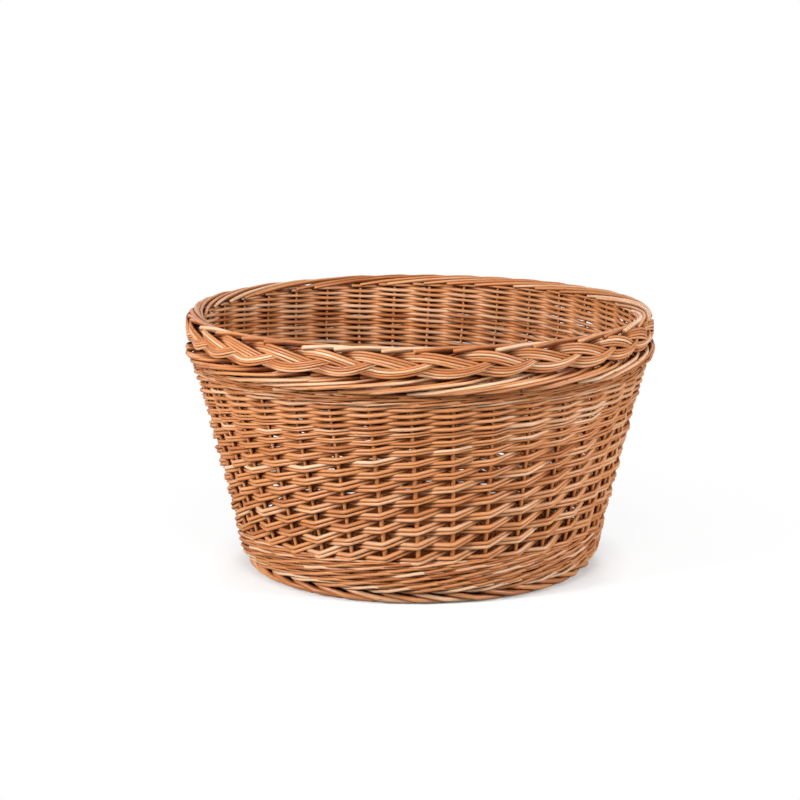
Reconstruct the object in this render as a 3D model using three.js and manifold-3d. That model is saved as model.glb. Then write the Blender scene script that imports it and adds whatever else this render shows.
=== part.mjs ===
// Round willow basket with a flared wall, a rolled rim and a plaited border.
// Millimetres, +Z up. The origin is on the ground under the middle of the base,
// and the side that faces -Y is the front.

import * as THREE from 'three';
import { mergeVertices } from 'three/addons/utils/BufferGeometryUtils.js';
import Module from 'manifold-3d';

const wasm = await Module();
wasm.setup();

// Driving dimensions

const seatGap = 0.3; // clearance between pieces that touch

const stakeDiameter = 5;
const stakeBendLength = 9; // straight taken up on each side of a stake's turns
const stakeFootInset = 48; // how far a stake's foot runs in under the wall
const stakeLeanAngle = 2.8; // degrees that a stake's top leans over, seen from above
const stakeInBorder = 9; // how far a stake's top sits up in the plaited border

const piercedSticks = 4;
const throughSticks = 5;
const stickDiameter = 7.5;
const stickBendLength = 3; // straight taken up on each side of a stick's turns
const splitCheek = 3.2; // wood left above and below a pierced stick's split
const stickEndInset = 20; // from the wall's outer foot to the stick ends

const wallFootRadius = 188; // outer face of the wall carried down to the ground
const wallFlareRatio = 0.2536; // outward per unit of height
const wallThickness = 11.6; // a stake and a weaver on each side of it
const wallTurnInDrop = 10; // how far under the collar the wall starts to turn in
const wallThicknessBetween = 3.8; // halfway between the stakes, where the rods cross
const wallRowDip = 2.45; // how far the wall's face drops between two rows
const wallFootRowPitch = 16.5; // from row to row of rods in front of a stake
const wallTopRowPitch = 4.5;
const wallRowEasing = 1.9; // above 1, the rows close up late, near the wall's top
const topWaleHeight = 8; // plain thin rows that close the wall

const footBorderHeight = 14.7;
const footBorderInset = 24; // from the wall's outer foot to the ring's inner face
const footBorderRounding = 6;
const baseWeaveHeight = 14;
const baseEdgeInset = 16; // from the wall's outer foot to the base weave's edge
const slathBindingWidth = 16;
const slathClearance = 1.7; // open ring between the crossed sticks and their binding
const upsettHeight = 35;
const wallWeaveHeight = 179.3;

const collarSetIn = 4.2; // from the wall's outer face to the collar's
const collarThickness = 10;
const collarHeight = 36;
const lowerRimWidth = 10.2;
const lowerRimHeight = 15;
const lowerRimRounding = 4.6;
const plaitOverhang = 10; // from the collar's outer face to the plait's
const plaitWidth = 25;
const plaitHeight = 30;
const plaitDrop = 18.4; // how far the plait hangs down outside the collar
const plaitRounding = 9.5;
const plaitEdgeRounding = 4.2; // its lower edge and its inner edge

// Facets

const stakeSides = 6;
const stickSides = 8;
const rimSegments = 72;
const loopSegments = 3;
const rimCuts = 1;
const plaitCuts = 2;
const bendStep = 26; // degrees of turn that one step of a bend may take
const mergeDistance = 1e-4;

const finishes = {
  stake: { color: 0xb07a45, roughness: 0.6 },
  stick: { color: 0xa9733f, roughness: 0.65 },
  weave: { color: 0xc58b52, roughness: 0.55 },
  border: { color: 0xd19a60, roughness: 0.5 },
};

// Levels and radii worked out from the dimensions above

const stakeRadius = stakeDiameter / 2;
const stickRadius = stickDiameter / 2;
const stakeRod = { radius: stakeRadius, sides: stakeSides };
const stickRod = { radius: stickRadius, sides: stickSides };
const baseEnds = 2 * (piercedSticks + throughSticks);
const stakeCount = 2 * baseEnds; // one on each side of a base stick's end
const endSpacing = (2 * Math.PI) / baseEnds;
const stakeSpacing = (2 * Math.PI) / stakeCount;
const frontAngle = -Math.PI / 2;
const firstEndAngle = frontAngle + stakeSpacing / 2;
const throughAngle = firstEndAngle + ((piercedSticks + throughSticks - 1) / 2) * endSpacing;
const piercedAngle = throughAngle + Math.PI / 2;
const leanAngle = THREE.MathUtils.degToRad(stakeLeanAngle);

const upsettBottom = footBorderHeight + seatGap;
const baseWeaveTop = upsettBottom + baseWeaveHeight;
const baseLevel = upsettBottom + baseWeaveHeight / 2;
const upsettTop = upsettBottom + upsettHeight;
const wallWeaveBottom = upsettTop + seatGap;
const wallWeaveTop = wallWeaveBottom + wallWeaveHeight;
const collarBottom = wallWeaveTop + seatGap;
const collarTop = collarBottom + collarHeight;
const plaitSeat = collarTop + seatGap;
const plaitBottom = plaitSeat - plaitDrop;
const plaitTop = plaitBottom + plaitHeight;
const baseWeaveRadius = wallFootRadius - baseEdgeInset;
const stickEndRadius = wallFootRadius - stickEndInset;
const stickPitch = stickDiameter + 2 * seatGap;
const splitHalf = ((throughSticks - 1) / 2) * stickPitch;
const splitRadius = stickRadius + seatGap;
const splitEnd = splitHalf + splitRadius;
const crossHalf = ((piercedSticks - 1) / 2) * stickPitch + stickRadius;
const crossRadius = Math.hypot(splitEnd + splitCheek, crossHalf);
const bindingInnerRadius = crossRadius + slathClearance;
const bindingRadius = bindingInnerRadius + slathBindingWidth;
const footRadius = wallFootRadius - stakeFootInset;
const stakeTurnIn = collarBottom - wallTurnInDrop;
const topWaleBottom = wallWeaveTop - topWaleHeight;

const wallOuterAt = (z) => wallFootRadius + wallFlareRatio * z;
const wallInnerAt = (z) => wallOuterAt(z) - wallThickness;
const wallMiddleAt = (z) => wallOuterAt(z) - wallThickness / 2;
const collarOuterRadius = wallOuterAt(wallWeaveTop) - collarSetIn;
const collarInnerRadius = collarOuterRadius - collarThickness;
const collarMiddleRadius = collarOuterRadius - collarThickness / 2;
const plaitOuterRadius = collarOuterRadius + plaitOverhang;

// How far the stakes have leant over at a level
const leanAt = (z) => leanAngle * ((z - baseLevel) / (plaitSeat - baseLevel));

// Turning a closed geometry into a solid and a solid back into a mesh

function solidFrom(geometry) {
  const bare = geometry.index ? geometry.toNonIndexed() : geometry.clone();
  bare.deleteAttribute('normal');
  bare.deleteAttribute('uv');
  const merged = mergeVertices(bare, mergeDistance);
  return new wasm.Manifold(new wasm.Mesh({
    numProp: 3,
    vertProperties: new Float32Array(merged.attributes.position.array),
    triVerts: new Uint32Array(merged.index.array),
  }));
}

function meshFrom(name, solid, finish) {
  const { vertProperties, triVerts } = solid.getMesh();
  const geometry = new THREE.BufferGeometry();
  geometry.setAttribute('position', new THREE.BufferAttribute(vertProperties, 3));
  geometry.setIndex(new THREE.BufferAttribute(triVerts, 1));
  geometry.computeVertexNormals();
  const material = new THREE.MeshStandardMaterial({ ...finishes[finish], metalness: 0 });
  const mesh = new THREE.Mesh(geometry, material);
  mesh.name = name;
  return mesh;
}

// Rods: a round section carried along a path with eased corners

class RodPath extends THREE.Curve {
  constructor(stations, directions) {
    super();
    this.stations = stations;
    this.directions = directions;
    this.steps = stations.length - 1;
  }

  getPoint(t, target = new THREE.Vector3()) {
    return target.copy(this.stations[Math.round(t * this.steps)]);
  }

  getTangent(t, target = new THREE.Vector3()) {
    return target.copy(this.directions[Math.round(t * this.steps)]);
  }

  // The rings of a rod stand at the stations themselves
  getUtoTmapping(u) {
    return u;
  }
}

const directionTo = (from, to) => to.clone().sub(from).normalize();

function straightPath(start, end) {
  const direction = directionTo(start, end);
  return new RodPath([start, end], [direction, direction]);
}

function bentPath(corners, bendLength) {
  const stations = [corners[0]];
  const directions = [directionTo(corners[0], corners[1])];
  for (let i = 1; i < corners.length - 1; i += 1) {
    const corner = corners[i];
    const into = directionTo(corners[i - 1], corner);
    const out = directionTo(corner, corners[i + 1]);
    const start = into.clone().multiplyScalar(-bendLength).add(corner);
    const end = out.clone().multiplyScalar(bendLength).add(corner);
    const ease = new THREE.QuadraticBezierCurve3(start, corner, end);
    const turn = THREE.MathUtils.radToDeg(into.angleTo(out));
    const steps = Math.ceil(turn / bendStep);
    for (let step = 0; step <= steps; step += 1) {
      stations.push(ease.getPoint(step / steps));
      directions.push(ease.getTangent(step / steps));
    }
  }
  stations.push(corners.at(-1));
  directions.push(directions.at(-1));
  return new RodPath(stations, directions);
}

function lengthened(path, extra) {
  const stations = path.stations.map((station) => station.clone());
  stations[0].addScaledVector(path.directions[0], -extra);
  stations.at(-1).addScaledVector(path.directions.at(-1), extra);
  return new RodPath(stations, path.directions);
}

function sweep(path, radius, sides) {
  const section = new THREE.Shape();
  for (let i = 0; i < sides; i += 1) {
    const turn = (2 * Math.PI * i) / sides;
    const x = radius * Math.cos(turn);
    const y = radius * Math.sin(turn);
    if (i === 0) section.moveTo(x, y);
    else section.lineTo(x, y);
  }
  return solidFrom(new THREE.ExtrudeGeometry(section, {
    steps: path.steps,
    extrudePath: path,
    bevelEnabled: false,
  }));
}

const rod = (path, { radius, sides }) => sweep(path, radius, sides);

// The room that a rod needs where it runs through another piece
function channel(path, { radius, sides }) {
  const corner = radius + seatGap / Math.cos(Math.PI / sides);
  return sweep(lengthened(path, seatGap), corner, sides);
}

const joined = (solids) => solids.reduce((sum, solid) => sum.add(solid));

// Rings: a closed section turned round the basket's axis

function turned(section, segments, offset) {
  const points = [...section, section[0]].map(([radius, z]) => new THREE.Vector2(radius, z));
  const geometry = new THREE.LatheGeometry(points, segments);
  geometry.rotateX(Math.PI / 2);
  geometry.rotateZ(offset);
  return solidFrom(geometry);
}

const rim = (section) => turned(section, rimSegments, 0);

// A band of weave has its edges between the stakes, as the stakes pull it flat
const band = (section) => turned(section, stakeCount, stakeSpacing / 2);

// A wall woven round the stakes. Each point of its section has a radius at the
// stakes and one halfway between them, and its edges follow the leaning stakes.
function wovenWall(section) {
  const columns = 2 * stakeCount;
  const rings = section.map(([atStakes, between, z]) => (
    Array.from({ length: columns }, (_, column) => {
      const radius = column % 2 === 0 ? atStakes : between;
      const angle = frontAngle + (column * stakeSpacing) / 2 - leanAt(z);
      return new THREE.Vector3(radius * Math.cos(angle), radius * Math.sin(angle), z);
    })
  ));
  const corners = rings.flatMap((ring, i) => {
    const next = rings[(i + 1) % rings.length];
    return ring.flatMap((corner, column) => {
      const beside = (column + 1) % columns;
      return [corner, ring[beside], next[beside], corner, next[beside], next[column]];
    });
  });
  return solidFrom(new THREE.BufferGeometry().setFromPoints(corners));
}

// A section's rounded corner, facing out and down (quarter -1), out and up (0),
// in and up (1) or in and down (2)
function roundedCorner([radius, z], quarter, rounding, cuts) {
  const inward = quarter < 1 ? -rounding : rounding;
  const upward = quarter === 0 || quarter === 1 ? -rounding : rounding;
  return Array.from({ length: cuts + 1 }, (_, i) => {
    const turn = (Math.PI / 2) * (quarter + i / cuts);
    return [
      radius + inward + rounding * Math.cos(turn),
      z + upward + rounding * Math.sin(turn),
    ];
  });
}

// A rectangle between two radii and two levels, with its corners rounded
const roundedSection = (innerRadius, outerRadius, bottom, top, rounding) => [
  ...roundedCorner([outerRadius, bottom], -1, rounding, rimCuts),
  ...roundedCorner([outerRadius, top], 0, rounding, rimCuts),
  ...roundedCorner([innerRadius, top], 1, rounding, rimCuts),
  ...roundedCorner([innerRadius, bottom], 2, rounding, rimCuts),
];

const plateSection = (innerRadius, outerRadius) => [
  [outerRadius, upsettBottom],
  [outerRadius, baseWeaveTop],
  [innerRadius, baseWeaveTop],
  [innerRadius, upsettBottom],
];

// Base sticks. Each lies along its bundle's direction in the cross and bends
// out past it towards its own even place round the edge.

const inBundle = (along, across, angle) => new THREE.Vector3(
  along * Math.cos(angle) - across * Math.sin(angle),
  along * Math.sin(angle) + across * Math.cos(angle),
  baseLevel,
);

const bundlePlaces = (count) => (
  Array.from({ length: count }, (_, i) => i - (count - 1) / 2)
);

// The end of a stick in its bundle, on the near (-1) or far (1) side
const stickEnd = (place, side, angle) => inBundle(
  side * stickEndRadius * Math.cos(place * endSpacing),
  stickEndRadius * Math.sin(place * endSpacing),
  angle,
);

function throughStickPath(place) {
  const across = place * stickPitch;
  const ends = [-1, 1].map((side) => stickEnd(place, side, throughAngle));
  if (place === 0) return straightPath(...ends);
  const along = across / Math.tan(place * endSpacing);
  const bends = [-along, along].map((u) => inBundle(u, across, throughAngle));
  return bentPath([ends[0], ...bends, ends[1]], stickBendLength);
}

function piercedStickHalf(place, side) {
  const start = inBundle(side * splitEnd, place * stickPitch, piercedAngle);
  return straightPath(start, stickEnd(place, side, piercedAngle));
}

// A long round-ended block across a pierced stick, seen from the stick's side
function splitBlock(place, radius, width) {
  const outline = new THREE.Shape();
  outline.absarc(splitHalf, 0, radius, -Math.PI / 2, Math.PI / 2);
  outline.absarc(-splitHalf, 0, radius, Math.PI / 2, (3 * Math.PI) / 2);
  const geometry = new THREE.ExtrudeGeometry(outline, {
    depth: width,
    curveSegments: loopSegments,
    bevelEnabled: false,
  });
  geometry.translate(0, 0, -width / 2);
  geometry.rotateX(Math.PI / 2);
  geometry.translate(0, place * stickPitch, baseLevel);
  geometry.rotateZ(piercedAngle);
  return solidFrom(geometry);
}

// The split opens round all the through sticks as a long loop, with a cheek
// of wood above them and one below.
function piercedStick(place) {
  const loop = splitBlock(place, splitRadius + splitCheek, stickDiameter);
  const halves = [-1, 1].map((side) => rod(piercedStickHalf(place, side), stickRod));
  const split = splitBlock(place, splitRadius, 2 * stickDiameter);
  return joined([loop, ...halves]).subtract(split);
}

// Side stakes. A foot lies in the base weave against a base stick's end, the
// rod turns up under the wall's middle line and ends inside the top border.

function stakePath(index) {
  const side = index % 2 === 0 ? -1 : 1;
  const endAngle = firstEndAngle + Math.floor(index / 2) * endSpacing;
  const angle = endAngle + (side * stakeSpacing) / 2;
  const hug = stickRadius + stakeRadius + seatGap;
  const foot = new THREE.Vector3(
    footRadius * Math.cos(endAngle) - side * hug * Math.sin(endAngle),
    footRadius * Math.sin(endAngle) + side * hug * Math.cos(endAngle),
    baseLevel,
  );
  const leaned = (radius, z) => {
    const turned = angle - leanAt(z);
    return new THREE.Vector3(radius * Math.cos(turned), radius * Math.sin(turned), z);
  };
  return bentPath([
    foot,
    leaned(wallMiddleAt(baseLevel), baseLevel),
    leaned(wallMiddleAt(stakeTurnIn), stakeTurnIn),
    leaned(collarMiddleRadius, plaitSeat + stakeInBorder),
  ], stakeBendLength);
}

// The basket

const basket = new THREE.Group();
const add = (name, solid, finish) => basket.add(meshFrom(name, solid, finish));
const twoDigits = (number) => String(number).padStart(2, '0');

bundlePlaces(piercedSticks).forEach((place, i) => {
  add(`base_stick_pierced_${i + 1}`, piercedStick(place), 'stick');
});

const throughPaths = bundlePlaces(throughSticks).map(throughStickPath);
throughPaths.forEach((path, i) => {
  add(`base_stick_through_${i + 1}`, rod(path, stickRod), 'stick');
});

const stakePaths = Array.from({ length: stakeCount }, (_, i) => stakePath(i));
stakePaths.forEach((path, i) => {
  add(`side_stake_${twoDigits(i + 1)}`, rod(path, stakeRod), 'stake');
});

const piercedPaths = bundlePlaces(piercedSticks).flatMap((place) => (
  [-1, 1].map((side) => piercedStickHalf(place, side))
));
const stickChannels = joined([...throughPaths, ...piercedPaths].map((path) => (
  channel(path, stickRod)
)));
const stakeChannels = joined(stakePaths.map((path) => channel(path, stakeRod)));

const binding = band(plateSection(bindingInnerRadius, bindingRadius));
add('slath_binding', binding.subtract(stickChannels), 'weave');

const baseWeave = band(plateSection(bindingRadius + seatGap, baseWeaveRadius));
add('base_weave', baseWeave.subtract(stickChannels).subtract(stakeChannels), 'weave');

add('foot_border', rim(roundedSection(
  wallFootRadius - footBorderInset,
  wallFootRadius,
  0,
  footBorderHeight,
  footBorderRounding,
)), 'border');

// The upsett wraps the base's edge and carries the wall
const upsett = band([
  [wallOuterAt(upsettBottom), upsettBottom],
  [wallOuterAt(upsettTop), upsettTop],
  [wallInnerAt(upsettTop), upsettTop],
  [wallInnerAt(baseWeaveTop), baseWeaveTop],
  [baseWeaveRadius + seatGap, baseWeaveTop],
  [baseWeaveRadius + seatGap, upsettBottom],
]);
add('upsett_wale', upsett.subtract(stakeChannels), 'weave');

// The levels of the wall's rows, which close up towards its top
function wallRows() {
  const levels = [];
  let level = wallWeaveBottom;
  while (level < topWaleBottom - wallTopRowPitch) {
    levels.push(level);
    const risen = (level - wallWeaveBottom) / wallWeaveHeight;
    const closedUp = (wallFootRowPitch - wallTopRowPitch) * risen ** wallRowEasing;
    level += wallFootRowPitch - closedUp;
  }
  return levels;
}

// Outside, the wall's face stands out where a row crosses a stake and drops
// between rows and between stakes. At its top it turns in to meet the collar.
const rows = wallRows();
const halfBetween = wallThicknessBetween / 2;
const wallFace = rows.flatMap((level, i) => {
  const gap = (level + (rows[i + 1] ?? topWaleBottom)) / 2;
  return [
    [wallOuterAt(level), wallMiddleAt(level) + halfBetween, level],
    [wallOuterAt(gap) - wallRowDip, wallMiddleAt(gap) + halfBetween, gap],
  ];
});
const wall = wovenWall([
  ...wallFace,
  [wallOuterAt(topWaleBottom), wallOuterAt(topWaleBottom), topWaleBottom],
  [wallOuterAt(wallWeaveTop), wallOuterAt(wallWeaveTop), wallWeaveTop],
  [collarInnerRadius, collarInnerRadius, wallWeaveTop],
  [wallInnerAt(stakeTurnIn), wallMiddleAt(stakeTurnIn) - halfBetween, stakeTurnIn],
  [wallInnerAt(wallWeaveBottom), wallMiddleAt(wallWeaveBottom) - halfBetween, wallWeaveBottom],
]);
add('wall_weave', wall.subtract(stakeChannels), 'weave');

add('lower_rim', rim(roundedSection(
  collarOuterRadius + seatGap,
  collarOuterRadius + seatGap + lowerRimWidth,
  collarBottom,
  collarBottom + lowerRimHeight,
  lowerRimRounding,
)), 'border');

const collar = band([
  [collarOuterRadius, collarBottom],
  [collarOuterRadius, collarTop],
  [collarInnerRadius, collarTop],
  [collarInnerRadius, collarBottom],
]);
add('collar_weave', collar.subtract(stakeChannels), 'weave');

// The plait caps the collar and hangs down outside it
const plaitInnerRadius = plaitOuterRadius - plaitWidth;
const plait = rim([
  ...roundedCorner([plaitOuterRadius, plaitBottom], -1, plaitEdgeRounding, rimCuts),
  ...roundedCorner([plaitOuterRadius, plaitTop], 0, plaitRounding, plaitCuts),
  ...roundedCorner([plaitInnerRadius, plaitTop], 1, plaitEdgeRounding, rimCuts),
  [plaitInnerRadius, plaitSeat],
  [collarOuterRadius + seatGap, plaitSeat],
  [collarOuterRadius + seatGap, plaitBottom],
]);
add('plaited_border', plait.subtract(stakeChannels), 'border');

export default basket;
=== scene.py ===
import math

import bpy
import numpy as np
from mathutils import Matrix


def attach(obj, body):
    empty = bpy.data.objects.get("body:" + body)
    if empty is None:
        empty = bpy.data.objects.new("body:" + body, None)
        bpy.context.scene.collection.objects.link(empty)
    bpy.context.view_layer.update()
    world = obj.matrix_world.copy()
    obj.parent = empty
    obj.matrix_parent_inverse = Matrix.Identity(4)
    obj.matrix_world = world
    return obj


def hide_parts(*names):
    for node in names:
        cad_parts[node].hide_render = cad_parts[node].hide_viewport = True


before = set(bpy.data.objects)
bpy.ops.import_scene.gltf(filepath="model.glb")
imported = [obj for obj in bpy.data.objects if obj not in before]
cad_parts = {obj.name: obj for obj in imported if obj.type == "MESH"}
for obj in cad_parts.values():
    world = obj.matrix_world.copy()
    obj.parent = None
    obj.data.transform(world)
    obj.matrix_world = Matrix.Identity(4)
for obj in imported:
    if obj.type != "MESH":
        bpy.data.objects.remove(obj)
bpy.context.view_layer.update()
print("frame in place:", len(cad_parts), "solids")

# Lengths are written in millimetres and angles in degrees; meshes are scaled when they are made
mm = 0.001

basket = {
    "stakes": 36,
    "baseEnds": 18,  # ends of the base sticks, with a stake on each side
    "firstEnd": -85.0,  # where the first of them points
    "wallFoot": 188.0,  # outer face of the wall carried down to the floor
    "flare": 0.2536,  # outward for each unit of height
    "wallHalf": 5.8,  # from the wall's outer face to the stakes' middle line
    "turnIn": (219.9, 237.97, 275.3, 237.0),  # the wall's middle near the top: level, radius, level, radius
    "lean": 2.8,  # how far the stake tops lean over, seen from above
    "leanBetween": (22.0, 266.2),
    "stakeAcross": [(22, 5.4), (100, 5.1), (165, 4.6), (200, 3.9), (272, 3.6)],
}
slope = math.atan(basket["flare"])


def unit(vectors):
    return vectors / np.linalg.norm(vectors, axis=-1, keepdims=True)


def ringPoints(radius, angle, level):
    angle, radius, level = np.broadcast_arrays(angle, radius, level)
    return np.stack([radius * np.cos(angle), radius * np.sin(angle), level], axis=-1).astype(float)


def turnedPoint(along, beside, turn, level):
    # A point that far along a line from the middle and that far beside it
    cos, sin = math.cos(math.radians(turn)), math.sin(math.radians(turn))
    x, y = along * cos - beside * sin, along * sin + beside * cos
    return np.stack([x, y, np.full_like(along, level)], axis=-1)


def tableAt(table, x):
    xs, ys = zip(*table)
    return np.interp(x, xs, ys)


def smoothAt(table, x, period=None):
    # A soft curve through the table's points, repeated where a period is given
    xs, ys = (np.array(column, float) for column in zip(*table))
    x = np.asarray(x, float)
    if period:
        x = np.mod(x - xs[0], period) + xs[0]
        xs = np.concatenate([[xs[-1] - period], xs, [xs[0] + period, xs[1] + period]])
        ys = np.concatenate([[ys[-1]], ys, [ys[0], ys[1]]])
    steepness = np.gradient(ys, xs)
    i = np.clip(np.searchsorted(xs, x, side="right") - 1, 0, len(xs) - 2)
    step = xs[i + 1] - xs[i]
    t = np.clip((x - xs[i]) / step, 0, 1)
    rise = ys[i + 1] - ys[i]
    bow = (t - 1) * (steepness[i] * step - rise) - t * (steepness[i + 1] * step - rise)
    return ys[i] + t * rise - t * (1 - t) * bow


def wallMiddle(level):
    lowLevel, lowRadius, topLevel, topRadius = basket["turnIn"]
    straight = basket["wallFoot"] + basket["flare"] * np.asarray(level, float) - basket["wallHalf"]
    turned = np.interp(level, [lowLevel, topLevel], [lowRadius, topRadius])
    return np.where(np.asarray(level) < lowLevel, straight, turned)


def wallTilt(level):
    # How far the wall leans out from upright: flared up to the turn, upright above it
    turn = basket["turnIn"][0]
    return np.interp(level, [turn - 5, turn + 5], [slope, 0.0])


def stakeHalf(level):
    return tableAt(basket["stakeAcross"], level) / 2


def stakeAngle(place, level):
    low, high = basket["leanBetween"]
    lean = basket["lean"] * (np.asarray(level) - low) / (high - low)
    return np.radians(-90 + 360 / basket["stakes"] * np.asarray(place) - lean)


# Rods: round sections carried along a path, gathered into one mesh for each piece

def newBundle():
    lists = {key: [] for key in ("points", "quads", "triangles", "space", "tone", "end", "paintedShade")}
    return {**lists, "count": 0}


def sectionSides(path):
    # Two directions across the rod at each point, carried along without twist
    tangent = unit(np.gradient(path, axis=0))
    across = np.empty_like(path)
    start = np.cross(tangent[0], [0, 0, 1.0])
    if np.linalg.norm(start) < 0.3:
        start = np.cross(tangent[0], [1.0, 0, 0])
    across[0] = unit(start)
    for i in range(1, len(path)):
        moved = across[i - 1] - tangent[i] * np.dot(across[i - 1], tangent[i])
        across[i] = moved / math.sqrt(np.dot(moved, moved))
    return tangent, across, np.cross(tangent, across)


# Painted shade: a darkness from 0 to 1 baked into every rod and laid over its colour, darker between rods,
# behind others, low inside and under the rims
shadePainting = {
    "between": 1.0,  # how dark the flanks get, where rods lie side by side
    "betweenSoftness": 2.6,
    # painted as if lit from above: a flank that faces up keeps only this share of the flank shade
    "topFlank": 0.45,  # how much of that is left on a flank that faces up
    "behind": (0.5, 1.1),  # how far behind a face starts to darken, and where it is darkest
    # Painted shade that gathers inside, and outside over the foot and under the rims: level, how dark
    "inside": [(30, 0.8), (120, 0.72), (165, 0.55), (195, 0.3), (265, 0.12)],
    "outside": [(12, 0.3), (20, 0.12), (50, 0.0), (205, 0.0), (218, 0.2), (229, 0.4), (238, 0.6),
                (243, 0.95), (256, 0.95), (262, 0.0)],
}


def paintedCreviceShade(normals, facing, depth):
    # How much painted shade each face gets: facing is the way out of the weave, depth runs from 1 for a rod
    # in front to -1 for one behind
    out = (normals * facing[:, None]).sum(axis=-1)
    between = np.clip(1 - out * out, 0, 1) ** shadePainting["betweenSoftness"] * shadePainting["between"]
    between *= 1 - (1 - shadePainting["topFlank"]) * np.clip(normals[..., 2], 0, 1)
    start, full = shadePainting["behind"]
    behind = np.clip((-out * depth[:, None] - start) / (full - start), 0, 1)
    return 1 - (1 - between) * (1 - behind * behind * (3 - 2 * behind))


rodShape = {
    "bevel": 0.35,  # from the cut face to where its edge starts to round off
    "cutFace": 0.86,  # how wide the cut face is, of the rod's own width
    "grainShift": 3.0,  # metres, so that no two rods show the same grain
}


def addRod(bundle, path, thickness, rng, tone=None, sides=8, slant=(0.0, 0.0), squeeze=1.0,
           facing=None, depth=0.0, shade=0.0):
    # thickness, depth and painted shade are one number or one for each point; slant leans the two cut faces
    bevel = rodShape["bevel"]
    path = np.asarray(path, float)
    thickness, depth, shade = (np.broadcast_to(np.asarray(value, float), len(path))
                               for value in (thickness, depth, shade))
    if facing is None:
        facing = unit(path * np.array([1, 1, 0]))
    facing = np.broadcast_to(np.asarray(facing, float), path.shape)
    tangent, across, up = sectionSides(path)
    path = np.concatenate([path[:1], path[:1] + bevel * tangent[:1], path[1:-1],
                           path[-1:] - bevel * tangent[-1:], path[-1:]])
    order = np.concatenate([[0], np.arange(len(thickness)), [len(thickness) - 1]])
    radius = thickness[order] / 2
    radius[[0, -1]] *= rodShape["cutFace"]
    tangent, across, up = tangent[order], across[order], up[order]
    facing, depth, shade = facing[order], depth[order], shade[order]
    turn = 2 * np.pi * np.arange(sides) / sides
    cos, sin = np.cos(turn)[None, :, None], np.sin(turn)[None, :, None]
    ring = radius[:, None, None] * (cos * across[:, None] + squeeze * sin * up[:, None])
    # painted shade for each vertex, from how its face lies and from the painted shade passed in
    paintedShade = paintedCreviceShade(cos * across[:, None] + sin * up[:, None], facing, depth)
    paintedShade = 1 - (1 - paintedShade) * (1 - shade[:, None])
    points = path[:, None] + ring
    for end, lean in ((0, slant[0]), (-1, slant[1])):
        shift = lean * np.cos(turn)[:, None] * tangent[end]
        points[end] += shift
        points[1 if end == 0 else -2] += shift
    along = np.concatenate([[0], np.cumsum(np.linalg.norm(np.diff(path, axis=0), axis=1))])
    offset = rng.uniform(0, rodShape["grainShift"], 3)
    space = np.stack([
        radius[:, None] * np.cos(turn) * mm + offset[0],
        radius[:, None] * np.sin(turn) * mm + offset[1],
        np.repeat(along[:, None], sides, axis=1) * mm + offset[2],
    ], axis=-1)
    rings, first = len(path), bundle["count"]
    index = first + np.arange(rings * sides).reshape(rings, sides)
    beside = np.roll(index, -1, axis=1)
    quads = np.stack([index[:-1], beside[:-1], beside[1:], index[1:]], axis=-1).reshape(-1, 4)
    centre = first + rings * sides
    startCap = np.stack([np.full(sides, centre), beside[0], index[0]], axis=-1)
    endCap = np.stack([np.full(sides, centre + 1), index[-1], beside[-1]], axis=-1)
    isEnd = np.zeros((rings, sides))
    isEnd[0] = isEnd[-1] = 1
    tone = rng.uniform(0, 1) if tone is None else tone
    bundle["points"] += [points.reshape(-1, 3), path[[0, -1]]]
    bundle["quads"].append(quads)
    bundle["triangles"] += [startCap, endCap]
    bundle["space"] += [space.reshape(-1, 3), space[[0, -1]].mean(axis=1)]
    bundle["tone"].append(np.full(rings * sides + 2, tone))
    bundle["end"] += [isEnd.reshape(-1), np.ones(2)]
    bundle["paintedShade"] += [paintedShade.reshape(-1), np.zeros(2)]
    bundle["count"] = centre + 2


def makePiece(name, bundle, willowName, nodes):
    mesh = bpy.data.meshes.new(name)
    points = np.concatenate(bundle["points"]) * mm
    quads, triangles = np.concatenate(bundle["quads"]), np.concatenate(bundle["triangles"])
    corners = np.concatenate([quads.ravel(), triangles.ravel()]).astype(np.int32)
    starts = np.concatenate([
        np.arange(len(quads)) * 4,
        len(quads) * 4 + np.arange(len(triangles)) * 3,
    ]).astype(np.int32)
    mesh.vertices.add(len(points))
    mesh.vertices.foreach_set("co", points.astype(np.float32).ravel())
    mesh.loops.add(len(corners))
    mesh.loops.foreach_set("vertex_index", corners)
    mesh.polygons.add(len(starts))
    mesh.polygons.foreach_set("loop_start", starts)
    mesh.update(calc_edges=True)
    mesh.shade_smooth()
    space = mesh.attributes.new("rodSpace", "FLOAT_VECTOR", "POINT")
    space.data.foreach_set("vector", np.concatenate(bundle["space"]).astype(np.float32).ravel())
    for attribute, key in (("rodTone", "tone"), ("cutEnd", "end"), ("paintedShade", "paintedShade")):
        values = mesh.attributes.new(attribute, "FLOAT", "POINT")
        values.data.foreach_set("value", np.concatenate(bundle[key]).astype(np.float32))
    mesh.materials.append(materials[willowName])
    piece = bpy.data.objects.new(name, mesh)
    bpy.context.scene.collection.objects.link(piece)
    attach(piece, "root")
    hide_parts(*nodes)


# Materials: groups work out tones, grain and marks from each rod's own coordinates

def addNode(tree, kind, place, **values):
    node = tree.nodes.new(kind)
    node.location = place
    for key, value in values.items():
        setattr(node, key, value)
    return node


def setInputs(node, **values):
    for key, value in values.items():
        node.inputs[key.replace("_", " ")].default_value = value


def newGroup(name, inputs, outputs):
    group = bpy.data.node_groups.new(name, "ShaderNodeTree")
    for direction, sockets in (("INPUT", inputs), ("OUTPUT", outputs)):
        for socketName, kind in sockets:
            group.interface.new_socket(name=socketName, in_out=direction, socket_type=kind)
    start = addNode(group, "NodeGroupInput", (-900, 0))
    end = addNode(group, "NodeGroupOutput", (900, 0))
    return group, start, end


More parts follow.
